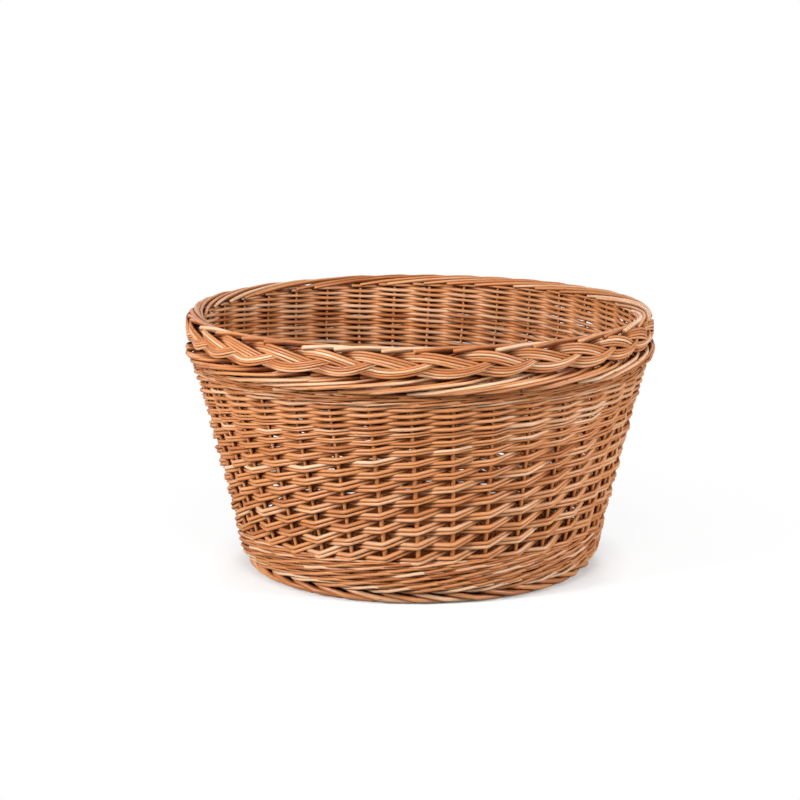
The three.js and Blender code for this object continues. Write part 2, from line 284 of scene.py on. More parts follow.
def rodPlaces(group, scale):
    # Places in the rod's own coordinates, scaled across it twice and along it
    space = addNode(group, "ShaderNodeAttribute", (-900, -300), attribute_name="rodSpace")
    scaled = addNode(group, "ShaderNodeMapping", (-700, -300))
    scaled.inputs["Scale"].default_value = scale
    group.links.new(space.outputs["Vector"], scaled.inputs["Vector"])
    return scaled.outputs["Vector"]


def rodToneGroup():
    # Colour of a rod: its own tone, a slow drift along it and a warm blush here and there
    group, start, end = newGroup("rodTones", [
        ("Pale", "NodeSocketColor"),
        ("Middle", "NodeSocketColor"),
        ("Deep", "NodeSocketColor"),
        ("Spread", "NodeSocketFloat"),
        ("Drift", "NodeSocketFloat"),
        ("Level", "NodeSocketFloat"),
    ], [("Color", "NodeSocketColor")])
    link = group.links.new
    tone = addNode(group, "ShaderNodeAttribute", (-900, 300), attribute_name="rodTone")
    drift = addNode(group, "ShaderNodeTexNoise", (-500, -300))
    setInputs(drift, Scale=1.0, Detail=3.0, Roughness=0.6)
    link(rodPlaces(group, (70, 70, 16)), drift.inputs["Vector"])
    own = addNode(group, "ShaderNodeMath", (-500, 300), operation="SUBTRACT")
    own.inputs[1].default_value = 0.5
    ownSpread = addNode(group, "ShaderNodeMath", (-300, 300), operation="MULTIPLY_ADD")
    link(tone.outputs["Fac"], own.inputs[0])
    link(own.outputs[0], ownSpread.inputs[0])
    link(start.outputs["Spread"], ownSpread.inputs[1])
    link(start.outputs["Level"], ownSpread.inputs[2])
    off = addNode(group, "ShaderNodeMath", (-300, -300), operation="SUBTRACT")
    off.inputs[1].default_value = 0.5
    total = addNode(group, "ShaderNodeMath", (-100, 100), operation="MULTIPLY_ADD", use_clamp=True)
    link(drift.outputs["Fac"], off.inputs[0])
    link(off.outputs[0], total.inputs[0])
    link(start.outputs["Drift"], total.inputs[1])
    link(ownSpread.outputs[0], total.inputs[2])
    lower = addNode(group, "ShaderNodeMapRange", (100, 250), interpolation_type="SMOOTHSTEP")
    setInputs(lower, From_Max=0.5)
    upper = addNode(group, "ShaderNodeMapRange", (100, -50), interpolation_type="SMOOTHSTEP")
    setInputs(upper, From_Min=0.5)
    low = addNode(group, "ShaderNodeMix", (350, 250), data_type="RGBA")
    high = addNode(group, "ShaderNodeMix", (600, 100), data_type="RGBA")
    link(total.outputs[0], lower.inputs["Value"])
    link(total.outputs[0], upper.inputs["Value"])
    link(lower.outputs[0], low.inputs[0])
    link(start.outputs["Deep"], low.inputs[6])
    link(start.outputs["Middle"], low.inputs[7])
    link(upper.outputs[0], high.inputs[0])
    link(low.outputs[2], high.inputs[6])
    link(start.outputs["Pale"], high.inputs[7])
    link(high.outputs[2], end.inputs["Color"])
    return group


def rodGrainGroup():
    # Fine fibres that run the length of the rod
    group, start, end = newGroup("rodGrain", [("Contrast", "NodeSocketFloat")],
                                 [("Fibre", "NodeSocketFloat"), ("Height", "NodeSocketFloat")])
    link = group.links.new
    places = rodPlaces(group, (1500, 1500, 45))
    fibre = addNode(group, "ShaderNodeTexNoise", (-450, -150))
    setInputs(fibre, Scale=1.0, Detail=4.0, Roughness=0.65)
    ripple = addNode(group, "ShaderNodeTexNoise", (-450, -450))
    setInputs(ripple, Scale=0.22, Detail=2.0)
    link(places, fibre.inputs["Vector"])
    link(places, ripple.inputs["Vector"])
    spread = addNode(group, "ShaderNodeMapRange", (-200, 0))
    setInputs(spread, From_Min=0.32, From_Max=0.68)
    link(fibre.outputs["Fac"], spread.inputs["Value"])
    faded = addNode(group, "ShaderNodeMath", (50, 0), operation="MULTIPLY")
    link(spread.outputs[0], faded.inputs[0])
    link(start.outputs["Contrast"], faded.inputs[1])
    link(faded.outputs[0], end.inputs["Fibre"])
    height = addNode(group, "ShaderNodeMath", (50, -300), operation="MULTIPLY_ADD")
    height.inputs[1].default_value = 2.2  # the long ripple stands out more than the fibres
    link(ripple.outputs["Fac"], height.inputs[0])
    link(spread.outputs[0], height.inputs[2])
    link(height.outputs[0], end.inputs["Height"])
    return group


def rodMarksGroup():
    # Leaf scars and small knots, far apart along the rod
    group, start, end = newGroup("rodMarks", [("Amount", "NodeSocketFloat")],
                                 [("Mark", "NodeSocketFloat"), ("Halo", "NodeSocketFloat")])
    link = group.links.new
    spots = addNode(group, "ShaderNodeTexVoronoi", (-500, -250))
    setInputs(spots, Scale=1.0)
    link(rodPlaces(group, (230, 230, 75)), spots.inputs["Vector"])
    chance = addNode(group, "ShaderNodeSeparateColor", (-300, 150))
    chosen = addNode(group, "ShaderNodeMath", (-100, 150), operation="LESS_THAN")
    link(spots.outputs["Color"], chance.inputs[0])
    link(chance.outputs[0], chosen.inputs[0])
    link(start.outputs["Amount"], chosen.inputs[1])
    for name, size, row in (("Mark", 0.2, -100), ("Halo", 0.48, -400)):
        spot = addNode(group, "ShaderNodeMapRange", (-50, row), interpolation_type="SMOOTHSTEP")
        setInputs(spot, From_Max=size, To_Min=1.0, To_Max=0.0)
        kept = addNode(group, "ShaderNodeMath", (200, row), operation="MULTIPLY")
        link(spots.outputs["Distance"], spot.inputs["Value"])
        link(spot.outputs[0], kept.inputs[0])
        link(chosen.outputs[0], kept.inputs[1])
        link(kept.outputs[0], end.inputs[name])
    return group


groups = {"tones": rodToneGroup(), "grain": rodGrainGroup(), "marks": rodMarksGroup()}

# Colours from the palest rods to the deepest, and how each kind of willow varies
willow = {
    "stakeWillow": {
        "pale": (0.72, 0.334, 0.131, 1), "middle": (0.58, 0.229, 0.077, 1), "deep": (0.40, 0.132, 0.036, 1),
        "spread": 0.5, "drift": 0.6, "level": 0.5, "contrast": 0.5, "marks": 0.10, "roughness": 0.42,
    },
    "weaveWillow": {
        "pale": (0.82, 0.56, 0.36, 1), "middle": (0.60, 0.252, 0.092, 1), "deep": (0.38, 0.118, 0.032, 1),
        "spread": 0.85, "drift": 0.7, "level": 0.5, "contrast": 0.5, "marks": 0.10, "roughness": 0.38,
    },
    "borderWillow": {
        "pale": (0.82, 0.56, 0.36, 1), "middle": (0.60, 0.25, 0.092, 1), "deep": (0.39, 0.122, 0.034, 1),
        "spread": 0.75, "drift": 0.8, "level": 0.52, "contrast": 0.55, "marks": 0.14, "roughness": 0.36,
    },
    "baseWillow": {
        "pale": (0.66, 0.317, 0.124, 1), "middle": (0.52, 0.207, 0.069, 1), "deep": (0.35, 0.114, 0.033, 1),
        "spread": 0.7, "drift": 0.7, "level": 0.48, "contrast": 0.55, "marks": 0.12, "roughness": 0.46,
    },
}

polish = {
    "specular": 0.08,
    "coat": 0.5,
    "coatRoughness": 0.33,
    "coatEnds": 0.5,  # how deep into a crevice the sheen reaches
    "fibreRoughness": 0.28,
    "paintedShadeRoughness": 0.45,
    "bumpStrength": 0.5,
    "bumpDistance": 0.00022,
}

stainsAndShade = {  # in the order that they are laid on: colour, blend and strength
    "fibre": ((0.42, 0.17, 0.06, 1), "MULTIPLY", 0.5),
    "halo": ((0.42, 0.17, 0.06, 1), "MIX", 0.55),
    "mark": ((0.08, 0.025, 0.01, 1), "MIX", 0.9),
    "cutEnd": ((0.52, 0.29, 0.12, 1), "MIX", 0.7),
    # painted shade, not a stain: darkens the colour where the rods carry baked shade
    "paintedShade": ((0.14, 0.042, 0.016, 1), "MULTIPLY", 1.0),
}


def willowMaterial(name):
    look = willow[name]
    material = bpy.data.materials.new(name)
    material.use_nodes = True
    tree = material.node_tree
    link = tree.links.new
    shader = tree.nodes["Principled BSDF"]
    shader.inputs["Specular IOR Level"].default_value = polish["specular"]
    shader.inputs["Coat Roughness"].default_value = polish["coatRoughness"]
    tones = addNode(tree, "ShaderNodeGroup", (-1100, 300), node_tree=groups["tones"])
    setInputs(tones, Pale=look["pale"], Middle=look["middle"], Deep=look["deep"],
              Spread=look["spread"], Drift=look["drift"], Level=look["level"])
    grain = addNode(tree, "ShaderNodeGroup", (-1100, 0), node_tree=groups["grain"])
    setInputs(grain, Contrast=look["contrast"])
    marks = addNode(tree, "ShaderNodeGroup", (-1100, -250), node_tree=groups["marks"])
    setInputs(marks, Amount=look["marks"])
    cut = addNode(tree, "ShaderNodeAttribute", (-1100, -500), attribute_name="cutEnd")
    # painted shade baked into each rod: darkens the colour, dulls it and takes its coat away
    paintedShade = addNode(tree, "ShaderNodeAttribute", (-1100, -700), attribute_name="paintedShade")
    masks = (grain.outputs["Fibre"], marks.outputs["Halo"], marks.outputs["Mark"],
             cut.outputs["Fac"], paintedShade.outputs["Fac"])
    colour = tones.outputs["Color"]
    for step, (mask, (tint, blend, strength)) in enumerate(zip(masks, stainsAndShade.values())):
        amount = addNode(tree, "ShaderNodeMath", (-850 + 220 * step, -100), operation="MULTIPLY")
        amount.inputs[1].default_value = strength
        mix = addNode(tree, "ShaderNodeMix", (-750 + 220 * step, 200), data_type="RGBA", blend_type=blend)
        mix.inputs[7].default_value = tint
        link(mask, amount.inputs[0])
        link(amount.outputs[0], mix.inputs[0])
        link(colour, mix.inputs[6])
        colour = mix.outputs[2]
    link(colour, shader.inputs["Base Color"])
    rough = addNode(tree, "ShaderNodeMath", (-500, -250), operation="MULTIPLY_ADD")
    rough.inputs[1].default_value = polish["fibreRoughness"]
    rough.inputs[2].default_value = look["roughness"]
    dull = addNode(tree, "ShaderNodeMath", (-300, -250), operation="MULTIPLY_ADD")
    dull.inputs[1].default_value = polish["paintedShadeRoughness"]
    link(grain.outputs["Fibre"], rough.inputs[0])
    link(paintedShade.outputs["Fac"], dull.inputs[0])
    link(rough.outputs[0], dull.inputs[2])
    link(dull.outputs[0], shader.inputs["Roughness"])
    coat = addNode(tree, "ShaderNodeMapRange", (-300, -650))
    setInputs(coat, From_Max=polish["coatEnds"], To_Min=polish["coat"], To_Max=0.0)
    link(paintedShade.outputs["Fac"], coat.inputs["Value"])
    link(coat.outputs[0], shader.inputs["Coat Weight"])
    bump = addNode(tree, "ShaderNodeBump", (-300, -450))
    setInputs(bump, Strength=polish["bumpStrength"], Distance=polish["bumpDistance"])
    link(grain.outputs["Height"], bump.inputs["Height"])
    link(bump.outputs["Normal"], shader.inputs["Normal"])
    return material


materials = {name: willowMaterial(name) for name in willow}
print("willow materials made:", len(materials))

# Side stakes: from the foot in the base, round the corner and up to the top border
stake = {
    "sides": 10,
    "footRadius": 140.0,
    "footBeside": 6.55,  # from the middle of a base stick to the stake beside it
    "level": 22.0,
    "turnRun": 9.0,  # how far before and after the corner the bend runs
    "bendPoints": 7,
    "footPoints": 5,
    "top": 271.0,
    "step": 9.0,
    "wobble": 0.35,
    "seed": 11,
}


def stakePath(number, rng):
    side = -1 if number % 2 == 0 else 1
    turn = basket["firstEnd"] + 360 / basket["baseEnds"] * (number // 2)
    foot = turnedPoint(stake["footRadius"], side * stake["footBeside"], turn, stake["level"])
    levels = np.arange(stake["level"], stake["top"] + 0.1, stake["step"])
    upright = ringPoints(wallMiddle(levels), stakeAngle(number, levels), levels)
    corner = upright[0]
    into, out = unit(corner - foot), unit(upright[1] - corner)
    start, finish = corner - into * stake["turnRun"], corner + out * stake["turnRun"]
    ease = np.linspace(0, 1, stake["bendPoints"])[:, None]
    bend = (1 - ease) ** 2 * start + 2 * ease * (1 - ease) * corner + ease ** 2 * finish
    run = np.linspace(0, 0.9, stake["footPoints"])[:, None]
    path = np.concatenate([foot + (start - foot) * run, bend, upright[2:]])
    sway = np.cumsum(rng.normal(0, 1, (len(path), 3)), axis=0)
    sway -= np.linspace(0, 1, len(path))[:, None] * sway[-1]
    return path + sway * stake["wobble"] / math.sqrt(len(path))


rng = np.random.default_rng(stake["seed"])
for number in range(basket["stakes"]):
    bundle = newBundle()
    path = stakePath(number, rng)
    addRod(bundle, path, 2 * stakeHalf(path[:, 2]), rng, sides=stake["sides"])
    makePiece(f"willowStake{number + 1:02d}", bundle, "stakeWillow",
              [f"side_stake_{number + 1:02d}"])
print("side stakes:", basket["stakes"])


def zigzag(t, rounding):
    # From 0 at one stake to 1 at the next, straight but for the bend round each stake
    low = t * t / (2 * rounding) + rounding / 2
    high = 1 - ((1 - t) ** 2 / (2 * rounding) + rounding / 2)
    eased = np.where(t < rounding, low, np.where(t > 1 - rounding, high, t))
    return (eased - 0.5) / (1 - rounding) + 0.5


def risingLevels(settings):
    # The level of each crossing of a stake, behind it and in front of it by turns
    front = settings["firstRow"]
    share, pitch = (tableAt(settings[key], front) for key in ("climbGoingIn", "rowPitch"))
    levels = [front - (1 - share) * pitch]
    while front < settings["to"]:
        share, pitch = (tableAt(settings[key], front) for key in ("climbGoingIn", "rowPitch"))
        levels += [front, front + share * pitch]
        front += pitch
    return np.array(levels[settings["startsInFront"]:len(levels) - settings["endsInFront"]])


def randedRod(settings, rng, first, member, levels, pairSway):
    # One rod of a French rand: in front of one stake, behind the next, climbing all the way
    last = len(levels) - 1
    places = (np.arange(last)[:, None] + np.array(settings["rings"])[None, :]).ravel()
    head, tail = rng.uniform(*settings["butt"]), rng.uniform(*settings["tail"])
    places = np.concatenate([[-head, -head / 2], places, [last, last + tail / 2, last + tail]])
    crossing = np.clip(np.floor(places).astype(int), 0, last - 1)
    t = np.clip(places - crossing, 0, 1)
    level = levels[crossing] + (levels[crossing + 1] - levels[crossing]) * (places - crossing)
    thickness = tableAt(settings["acrossAt"], level) * rng.normal(1, settings["unevenAcross"])
    turned = (crossing + settings["startsInFront"]) % 2
    side = np.where(turned == 0, -1.0, 1.0) * (1 - 2 * zigzag(t, settings["rounding"]))
    out = side * (stakeHalf(level) + thickness / 2)
    ownSway = pairSway + rng.normal(0, settings["ownSway"], pairSway.shape)
    sway = ownSway[crossing] * (1 - t)[:, None] + ownSway[crossing + 1] * t[:, None]
    stacked = (member - (settings["members"] - 1) / 2) * thickness * settings["packing"]
    taper = np.interp(places, [last - settings["tipRun"], last + tail], [1, settings["tip"]])
    tilt = wallTilt(level)
    height = level + stacked * np.cos(tilt) - out * np.sin(tilt) + sway[:, 0]
    radius = wallMiddle(level) + stacked * np.sin(tilt) + out * np.cos(tilt) + sway[:, 1]
    path = ringPoints(radius, stakeAngle(first + places, level), height)
    return path, thickness * taper, side


def randing(settings, pieces, nodes):
    rng = np.random.default_rng(settings["seed"])
    levels = risingLevels(settings)
    bundles = [newBundle() for piece in pieces]
    together = settings["toneTogether"]
    for first in range(basket["stakes"]):
        pairSway = rng.normal(0, 1, (len(levels) + 2, 2)) * np.array(settings["pairSway"])
        pairTone = rng.uniform(0, 1)
        for member in range(settings["members"]):
            path, thickness, side = randedRod(settings, rng, first, member, levels, pairSway)
            tone = together * pairTone + (1 - together) * rng.uniform(0, 1)
            slant = [rng.uniform(-lean, lean) for lean in settings["slant"]]
            # painted shade inside the basket and under the rims, on the part of a rod that lies on that
            # side
            shade = np.where(side < 0, tableAt(shadePainting["inside"], path[:, 2]),
                             tableAt(shadePainting["outside"], path[:, 2])) * np.abs(side)
            bundle = bundles[first * len(pieces) // basket["stakes"]]
            addRod(bundle, path, thickness, rng, tone=tone, sides=settings["sides"], slant=slant,
                   depth=side * settings["shadeByDepth"], shade=shade)
    for name, bundle in zip(pieces, bundles):
        makePiece(name, bundle, "weaveWillow", nodes)
    return levels


# Wall: 36 pairs of rods in French randing
wall = {
    "members": 2,  # rods that run together
    "firstRow": 51.5,
    "to": 190.0,
    "startsInFront": False,
    "endsInFront": False,
    "rowPitch": [(50, 16.5), (85, 16.0), (115, 14.9), (145, 13.1), (158, 12.2), (170, 9.4), (180, 8.6),
                 (192, 7.0)],
    # Share of each row's climb that a rod makes on its way from front to back
    "climbGoingIn": [(50, 0.72), (75, 0.68), (100, 0.6), (130, 0.53), (190, 0.45)],
    "acrossAt": [(50, 4.45), (100, 4.35), (150, 3.85), (170, 3.25), (180, 3.0), (195, 2.75)],
    "rings": [0, 0.04, 0.12, 0.5, 0.88, 0.96],
    "rounding": 0.07,
    # painted shade for rods on their way behind the stakes
    "shadeByDepth": 0.75,  # how soon a rod falls into shade on its way behind
    "packing": 0.99,
    "toneTogether": 0.4,  # how much of their tone the rods of a pair share
    "pairSway": [0.55, 0.28],
    "ownSway": 0.26,
    "unevenAcross": 0.08,
    "butt": (0.25, 0.5),  # stakes that a rod's ends reach past its first and last crossing
    "tail": (0.15, 0.5),
    "slant": (1.5, 1.0),  # how far the cut faces lean at most, at butt and tip
    "tip": 0.8,
    "tipRun": 1.5,
    "sides": 8,
    "seed": 23,
}
wallPieces = ["wallWeaveFrontLeft", "wallWeaveFrontRight", "wallWeaveBackRight", "wallWeaveBackLeft"]
levels = randing(wall, wallPieces, ["wall_weave"])
print("wall weave:", len(levels) - 1, "layers up to", round(levels[-1], 1))

# Upper wall: stouter rods woven singly, with their tips tucked away behind the lower rim
upperWall = {
    **wall,
    "members": 1,
    "firstRow": levels[-2] + 6.8,  # a row over the wall's last
    "to": 232.0,
    "endsInFront": True,
    "rowPitch": [(195, 6.8), (228, 6.2)],
    "climbGoingIn": [(195, 0.32), (215, 0.32), (228, 0.5)],
    "acrossAt": [(195, 4.2), (228, 4.2)],
    "rounding": 0.1,
    "shadeByDepth": 1.5,
    "pairSway": [0.22, 0.2],
    "ownSway": 0.08,
    "unevenAcross": 0.07,
    "seed": 29,
}
levels = randing(upperWall, ["wallWeaveTop"], ["wall_weave"])
print("upper wall:", len(levels) - 1, "layers up to", round(levels[-1], 1))

# Collar: single rods, mostly seen from inside
collar = {
    **upperWall,
    "firstRow": levels[-1],
    "to": 268.5,
    "startsInFront": True,
    "endsInFront": False,
    "rowPitch": [(230, 6.2), (266, 6.0)],
    "climbGoingIn": [(230, 0.5), (266, 0.5)],
    "acrossAt": [(230, 4.2), (250, 4.2), (266, 4.1)],
    "rings": [0, 0.05, 0.15, 0.5, 0.85, 0.95],
    "rounding": 0.09,
    "pairSway": [0.2, 0.2],
    "unevenAcross": 0.06,
    "seed": 31,
}
levels = randing(collar, ["collarWeave"], ["collar_weave"])
print("collar weave:", len(levels) - 1, "layers up to", round(levels[-1], 1))


def waleRow(bundle, settings, level, across, rng, turnFrom):
    # Three rods, each in front of two stakes and behind one, twisting over each other
    places = np.arange(0, basket["stakes"] + settings["overlap"], 1 / settings["ringsPerStake"])
    steps = np.arange(basket["stakes"] + 3)
    stakesOut = [(phase, stakes) for phase, stakes, rods in settings["out"]]
    rodsOut = [(phase, rods) for phase, stakes, rods in settings["out"]]
    shadeByDepth, forward = settings["shadeByDepth"]
    for strand in range(3):
        phase = np.mod(places - 0.5 - strand, 3)
        stakeShare = smoothAt(stakesOut, phase, 3)
        rodShare = smoothAt(rodsOut, phase, 3)
        rise = smoothAt(settings["rise"], phase, 3) * across
        sway = [np.interp(places, steps, rng.normal(0, settings["sway"], len(steps))) for axis in (0, 1)]
        uneven = np.interp(places, steps, rng.normal(0, settings["unevenAcross"], len(steps)))
        height = level + rise + sway[0]
        out = stakeHalf(height) * stakeShare + across * rodShare + sway[1] / 2
        path = ringPoints(wallMiddle(height) + out, stakeAngle(turnFrom + places, height), height)
        # painted shade by how far out the rod lies, over the foot and under the rim
        addRod(bundle, path, across * (1 + uneven), rng, sides=settings["sides"], slant=(1.0, -1.0),
               depth=shadeByDepth * rodShare + forward, shade=tableAt(shadePainting["outside"], height))


def waleRows(settings):
    rng = np.random.default_rng(settings["seed"])
    bundle = newBundle()
    for row, (level, across) in enumerate(settings["rows"]):
        waleRow(bundle, settings, level, across, rng, settings["stepOver"] * row)
    return bundle


# Upsett: rows of three-rod wale that turn the wall up from the base
upsett = {
    # Level and how thick the rods are
    "rows": [(17.4, 3.5), (22.8, 3.7), (28.6, 3.8), (34.4, 3.7), (40.0, 3.5), (45.2, 3.0)],
    # Stakes gone past, then how far out a rod lies: half stakes and whole rods
    "out": [(0, 0.1, 0.2), (0.5, 1, 1.0), (1, 0.9, 1.1), (1.5, 1, 0.55), (2, 0.0, 0.0), (2.5, -1, -0.5)],
    "rise": [(0, -0.85), (0.5, -0.3), (1, 0.5), (1.5, 0.7), (2, 0.4), (2.5, -0.2)],
    "stepOver": 0.8,  # stakes from where one row starts to where the next does
    "overlap": 1.6,  # stakes that a row runs on past its own start
    "ringsPerStake": 7,
    "sides": 8,
    "sway": 0.5,
    "unevenAcross": 0.06,
    # painted shade on wale rods that dive behind
    "shadeByDepth": (1.6, -0.9),  # how a rod's shade follows how far out it lies
    "seed": 41,
}
makePiece("upsettWale", waleRows(upsett), "weaveWillow", ["upsett_wale"])
print("upsett rows:", len(upsett["rows"]))

# Top wale: thin rows that close the wall under the lower rim
topWale = {
    **upsett,
    "rows": [(219.0, 2.3), (223.6, 2.4), (228.2, 2.5)],
    "out": [(0, 0.3, 0.3), (0.5, 1, 1.2), (1, 1, 1.4), (1.5, 1, 1.1), (2, 0.5, 0.4), (2.5, 0, 0)],
    "stepOver": 1.3,
    "ringsPerStake": 6,
    "unevenAcross": 0.12,
    "seed": 43,
}
makePiece("topWale", waleRows(topWale), "weaveWillow", ["wall_weave"])
print("top wale rows:", len(topWale["rows"]))


def rolledStrokes(settings):
    # A rolled border: one rod after another, each lying over the ones before it
    rng = np.random.default_rng(settings["seed"])
    bundle = newBundle()
    middleRadius, middleLevel = settings["core"]
    t = np.linspace(0, 1, settings["rings"])
    for number in range(settings["count"]):
        start = 360 / settings["count"] * number + rng.normal(0, settings["unevenStart"])
        span = settings["span"] * rng.normal(1, settings["unevenSpan"])
        radius = smoothAt(settings["radius"], t) + rng.normal(0, settings["sway"])
        level = smoothAt(settings["level"], t) + rng.normal(0, settings["sway"])
        angle = np.radians(-90 + start + span * t)
        across = settings["across"] * rng.normal(1, settings["unevenAcross"])
        across = across * tableAt(settings["taper"], t)
        level = np.maximum(level, across / 2 + settings["floor"])
        facing = unit(ringPoints(radius - middleRadius, angle, level - middleLevel))
        slant = [rng.uniform(-settings["slant"], settings["slant"]) for end in (0, 1)]
        addRod(bundle, ringPoints(radius, angle, level), across, rng, sides=settings["sides"], slant=slant,
               facing=facing, depth=tableAt(settings["depth"], t), shade=tableAt(settings["shade"], t))
    return bundle


# Foot border: the rolled ring that the basket stands on
foot = {
    "count": 33,
    "span": 36.0,
    # Along each rod, from 0 to 1: its path, its painted shade and its width
    "radius": [(0, 170), (0.12, 178), (0.28, 184.4), (0.5, 185.2), (0.75, 180), (1, 170)],
    "level": [(0, 13.2), (0.12, 14.4), (0.28, 11.4), (0.5, 6.2), (0.75, 3.2), (1, 5)],
    "depth": [(0, -0.8), (0.1, 0.4), (0.7, 0.6), (1, -0.9)],
    "shade": [(0, 0)],
    "taper": [(0, 0.75), (0.12, 1.0), (0.8, 1.0), (1, 0.8)],
    "core": (176.0, 7.0),  # radius and level that the rods are rolled round
    "across": 5.9,
    "floor": 0.05,  # the least that a rod lies over the ground
    "rings": 18,
    "sides": 10,
    "sway": 0.3,
    "unevenStart": 0.5,
    "unevenSpan": 0.05,
    "unevenAcross": 0.06,
    "slant": 1.5,
    "seed": 53,
}
makePiece("footBorder", rolledStrokes(foot), "borderWillow", ["foot_border"])
print("foot border rods:", foot["count"])

# Lower rim: rods that come over from inside, run round the outside and end under the rim
lowerRim = {
    **foot,
    "count": 52,
    "span": -35.0,
    "radius": [(0, 239.5), (0.1, 244.5), (0.22, 248.6), (0.45, 250.4), (0.8, 250.0), (1, 245.5)],
    "level": [(0, 245.8), (0.1, 244.8), (0.22, 242.6), (0.45, 239.2), (0.8, 233.2), (1, 231.0)],
    "depth": [(0, -1.2), (0.1, 0.2), (0.7, 0.7), (1, -0.9)],
    # painted shadow under the overhang of the plait
    "shade": [(0, 0.95), (0.12, 0.7), (0.26, 0)],  # each rod starts in the dark under the plait
    "taper": [(0, 0.85), (0.12, 1.0), (0.8, 0.95), (1, 0.75)],
    "core": (244.0, 237.0),
    "across": 3.9,
    "rings": 22,
    "sway": 0.6,
    "unevenStart": 1.4,
    "seed": 61,
}
makePiece("lowerRim", rolledStrokes(lowerRim), "borderWillow", ["lower_rim"])
print("lower rim rods:", lowerRim["count"])

# Plaited border: three strands of four rods, and the spare ends that lie inside them
plait = {
    "middle": (247.0, 259.8),  # radius and level
    "tilt": 5.0,  # the face leans in at its top
    "swing": 8.2,
    "depth": 2.6,
    "rods": 4,
    "across": 2.95,
    "unevenAcross": 0.08,
    "packing": 0.98,
    "low": 0.3,  # how far below the middle line the strands change over
    "roll": 42.0,  # how far a strand turns over on its way up, which tucks its lowest rod under
    # painted shade on the strands where they pass under each other
    "shadeByDepth": (1.1, 0.05, 0.3),  # shading: by depth, forward of it, and for rods tucked under
    "from": -180.0,  # degrees from the front; the ends overlap at the back
    "to": 188.0,
    "crossings": 28,
    "frontCrossings": [-36.1, -21.9, -10.9, 2.8, 16.5, 27.4, 40.1],
    "stepsPerCrossing": 12,
    "sides": 10,
    "sway": 0.3,
    "waves": 1.7,  # of that sway, for each turn of the strand
    "seed": 71,
}


def plaitPhase(angle):
    # Crossings round the rim, in degrees from the front, with those in front at their own places
    tips = plait["frontCrossings"]
    rest = plait["crossings"] - len(tips) + 1
    back = np.linspace(tips[-1], tips[0] + 360, rest + 1)[1:]
    knots = np.concatenate([tips, back])
    turns = np.floor((angle - knots[0]) / 360)
    return np.interp(angle - 360 * turns, knots, np.arange(len(knots))) + turns * plait["crossings"]


def plaitedStrand(bundle, strand, degrees, rng):
    phase = plaitPhase(degrees) * 2 * np.pi / 3 + 2 * np.pi * strand / 3
    tilt = math.radians(plait["tilt"])
    middleRadius, middleLevel = plait["middle"]
    shadeByDepth, forward, under = plait["shadeByDepth"]
    spacing = np.radians(np.gradient(degrees)) * middleRadius
    swing = plait["swing"] * np.sin(phase)
    depth = -np.sin(2 * phase) - plait["low"] * np.cos(phase)
    heading = np.arctan2(np.gradient(swing), spacing)
    roll = math.radians(plait["roll"]) * (0.5 + 0.5 * np.cos(phase))
    for member in range(plait["rods"]):
        place = member - (plait["rods"] - 1) / 2
        shift = place * plait["across"] * plait["packing"]
        wave = np.sin(phase * plait["waves"] + rng.uniform(0, 6)) * plait["sway"]
        face = swing + shift * np.cos(roll) * np.cos(heading) + wave
        along = -shift * np.cos(roll) * np.sin(heading)
        out = plait["depth"] * depth + min(shift, 0) * np.sin(roll) + 0.5 * wave
        radius = middleRadius + out * math.cos(tilt) - face * math.sin(tilt)
        level = middleLevel + out * math.sin(tilt) + face * math.cos(tilt)
        angle = np.radians(-90 + degrees) + along / middleRadius
        across = plait["across"] * rng.normal(1, plait["unevenAcross"])
        addRod(bundle, ringPoints(radius, angle, level), across, rng, sides=plait["sides"],
               depth=shadeByDepth * depth + forward - under * max(-place, 0) * np.sin(roll))


rng = np.random.default_rng(plait["seed"])
bundle = newBundle()
steps = (plait["crossings"] + 1) * plait["stepsPerCrossing"]
for strand in range(3):
    plaitedStrand(bundle, strand, np.linspace(plait["from"], plait["to"], steps), rng)
makePiece("plaitStrands", bundle, "borderWillow", ["plaited_border"])

# Their spare ends run on along the top and down the inside
spareEnds = {
    **foot,
    "count": 38,
    "span": 40.0,
    "radius": [(0, 246.5), (0.12, 244.8), (0.4, 241), (0.7, 236), (1, 231)],
    "level": [(0, 272.9), (0.12, 275), (0.4, 274.8), (0.7, 272.6), (1, 269.2)],
    "depth": [(0, 0.4), (0.1, 0.8), (0.7, 0.6), (1, 0.4)],
    "taper": [(0, 1.0), (0.12, 1.0), (0.8, 0.85), (1, 0.7)],
    "core": (240.0, 262.0),
    "across": 5.2,
    "rings": 14,
    "sway": 0.4,
    "unevenStart": 1.2,
    "seed": 73,
}
makePiece("plaitSpareEnds", rolledStrokes(spareEnds), "borderWillow", ["plaited_border"])
print("plait strands and", spareEnds["count"], "spare ends")

# Base: sticks crossed in the middle, tied and then filled out with pairing
sticks = {
    "pierced": 4,
    "through": 5,
    "across": 7.5,
    "pitch": 8.1,
    "cheek": 3.2,  # wood left over and under a split
    "cheekAcross": 0.96,
    "cheekEnds": (7.0, 0.12),  # run in which the cheeks spread, and the share they start at
    "splitRun": 5.0,  # how far the split reaches past the sticks in it
    "endRadius": 168.0,
    "level": 22.0,
    "throughTurn": -5.0,
    "bendPoints": (-6, 4, 14),  # points along a stick where it bends out of its bundle
    "sides": 12,
    "seed": 83,
}


def fannedStick(place, turn):
    # A stick lies along its bundle in the middle and fans out to its own even place at the rim
    spread = math.radians(360 / basket["baseEnds"] * place)
    bend = abs(place * sticks["pitch"] / math.tan(spread)) if place else 0
    endAlong = sticks["endRadius"] * math.cos(spread)
    half = np.concatenate([bend + np.array(sticks["bendPoints"]), [endAlong]])
    along = np.concatenate([-half[::-1], [0], half]) if place else np.linspace(-endAlong, endAlong, 9)
    across = np.where(np.abs(along) <= bend, place * sticks["pitch"], np.abs(along) * math.tan(spread))
    return turnedPoint(along, across, turn, sticks["level"])


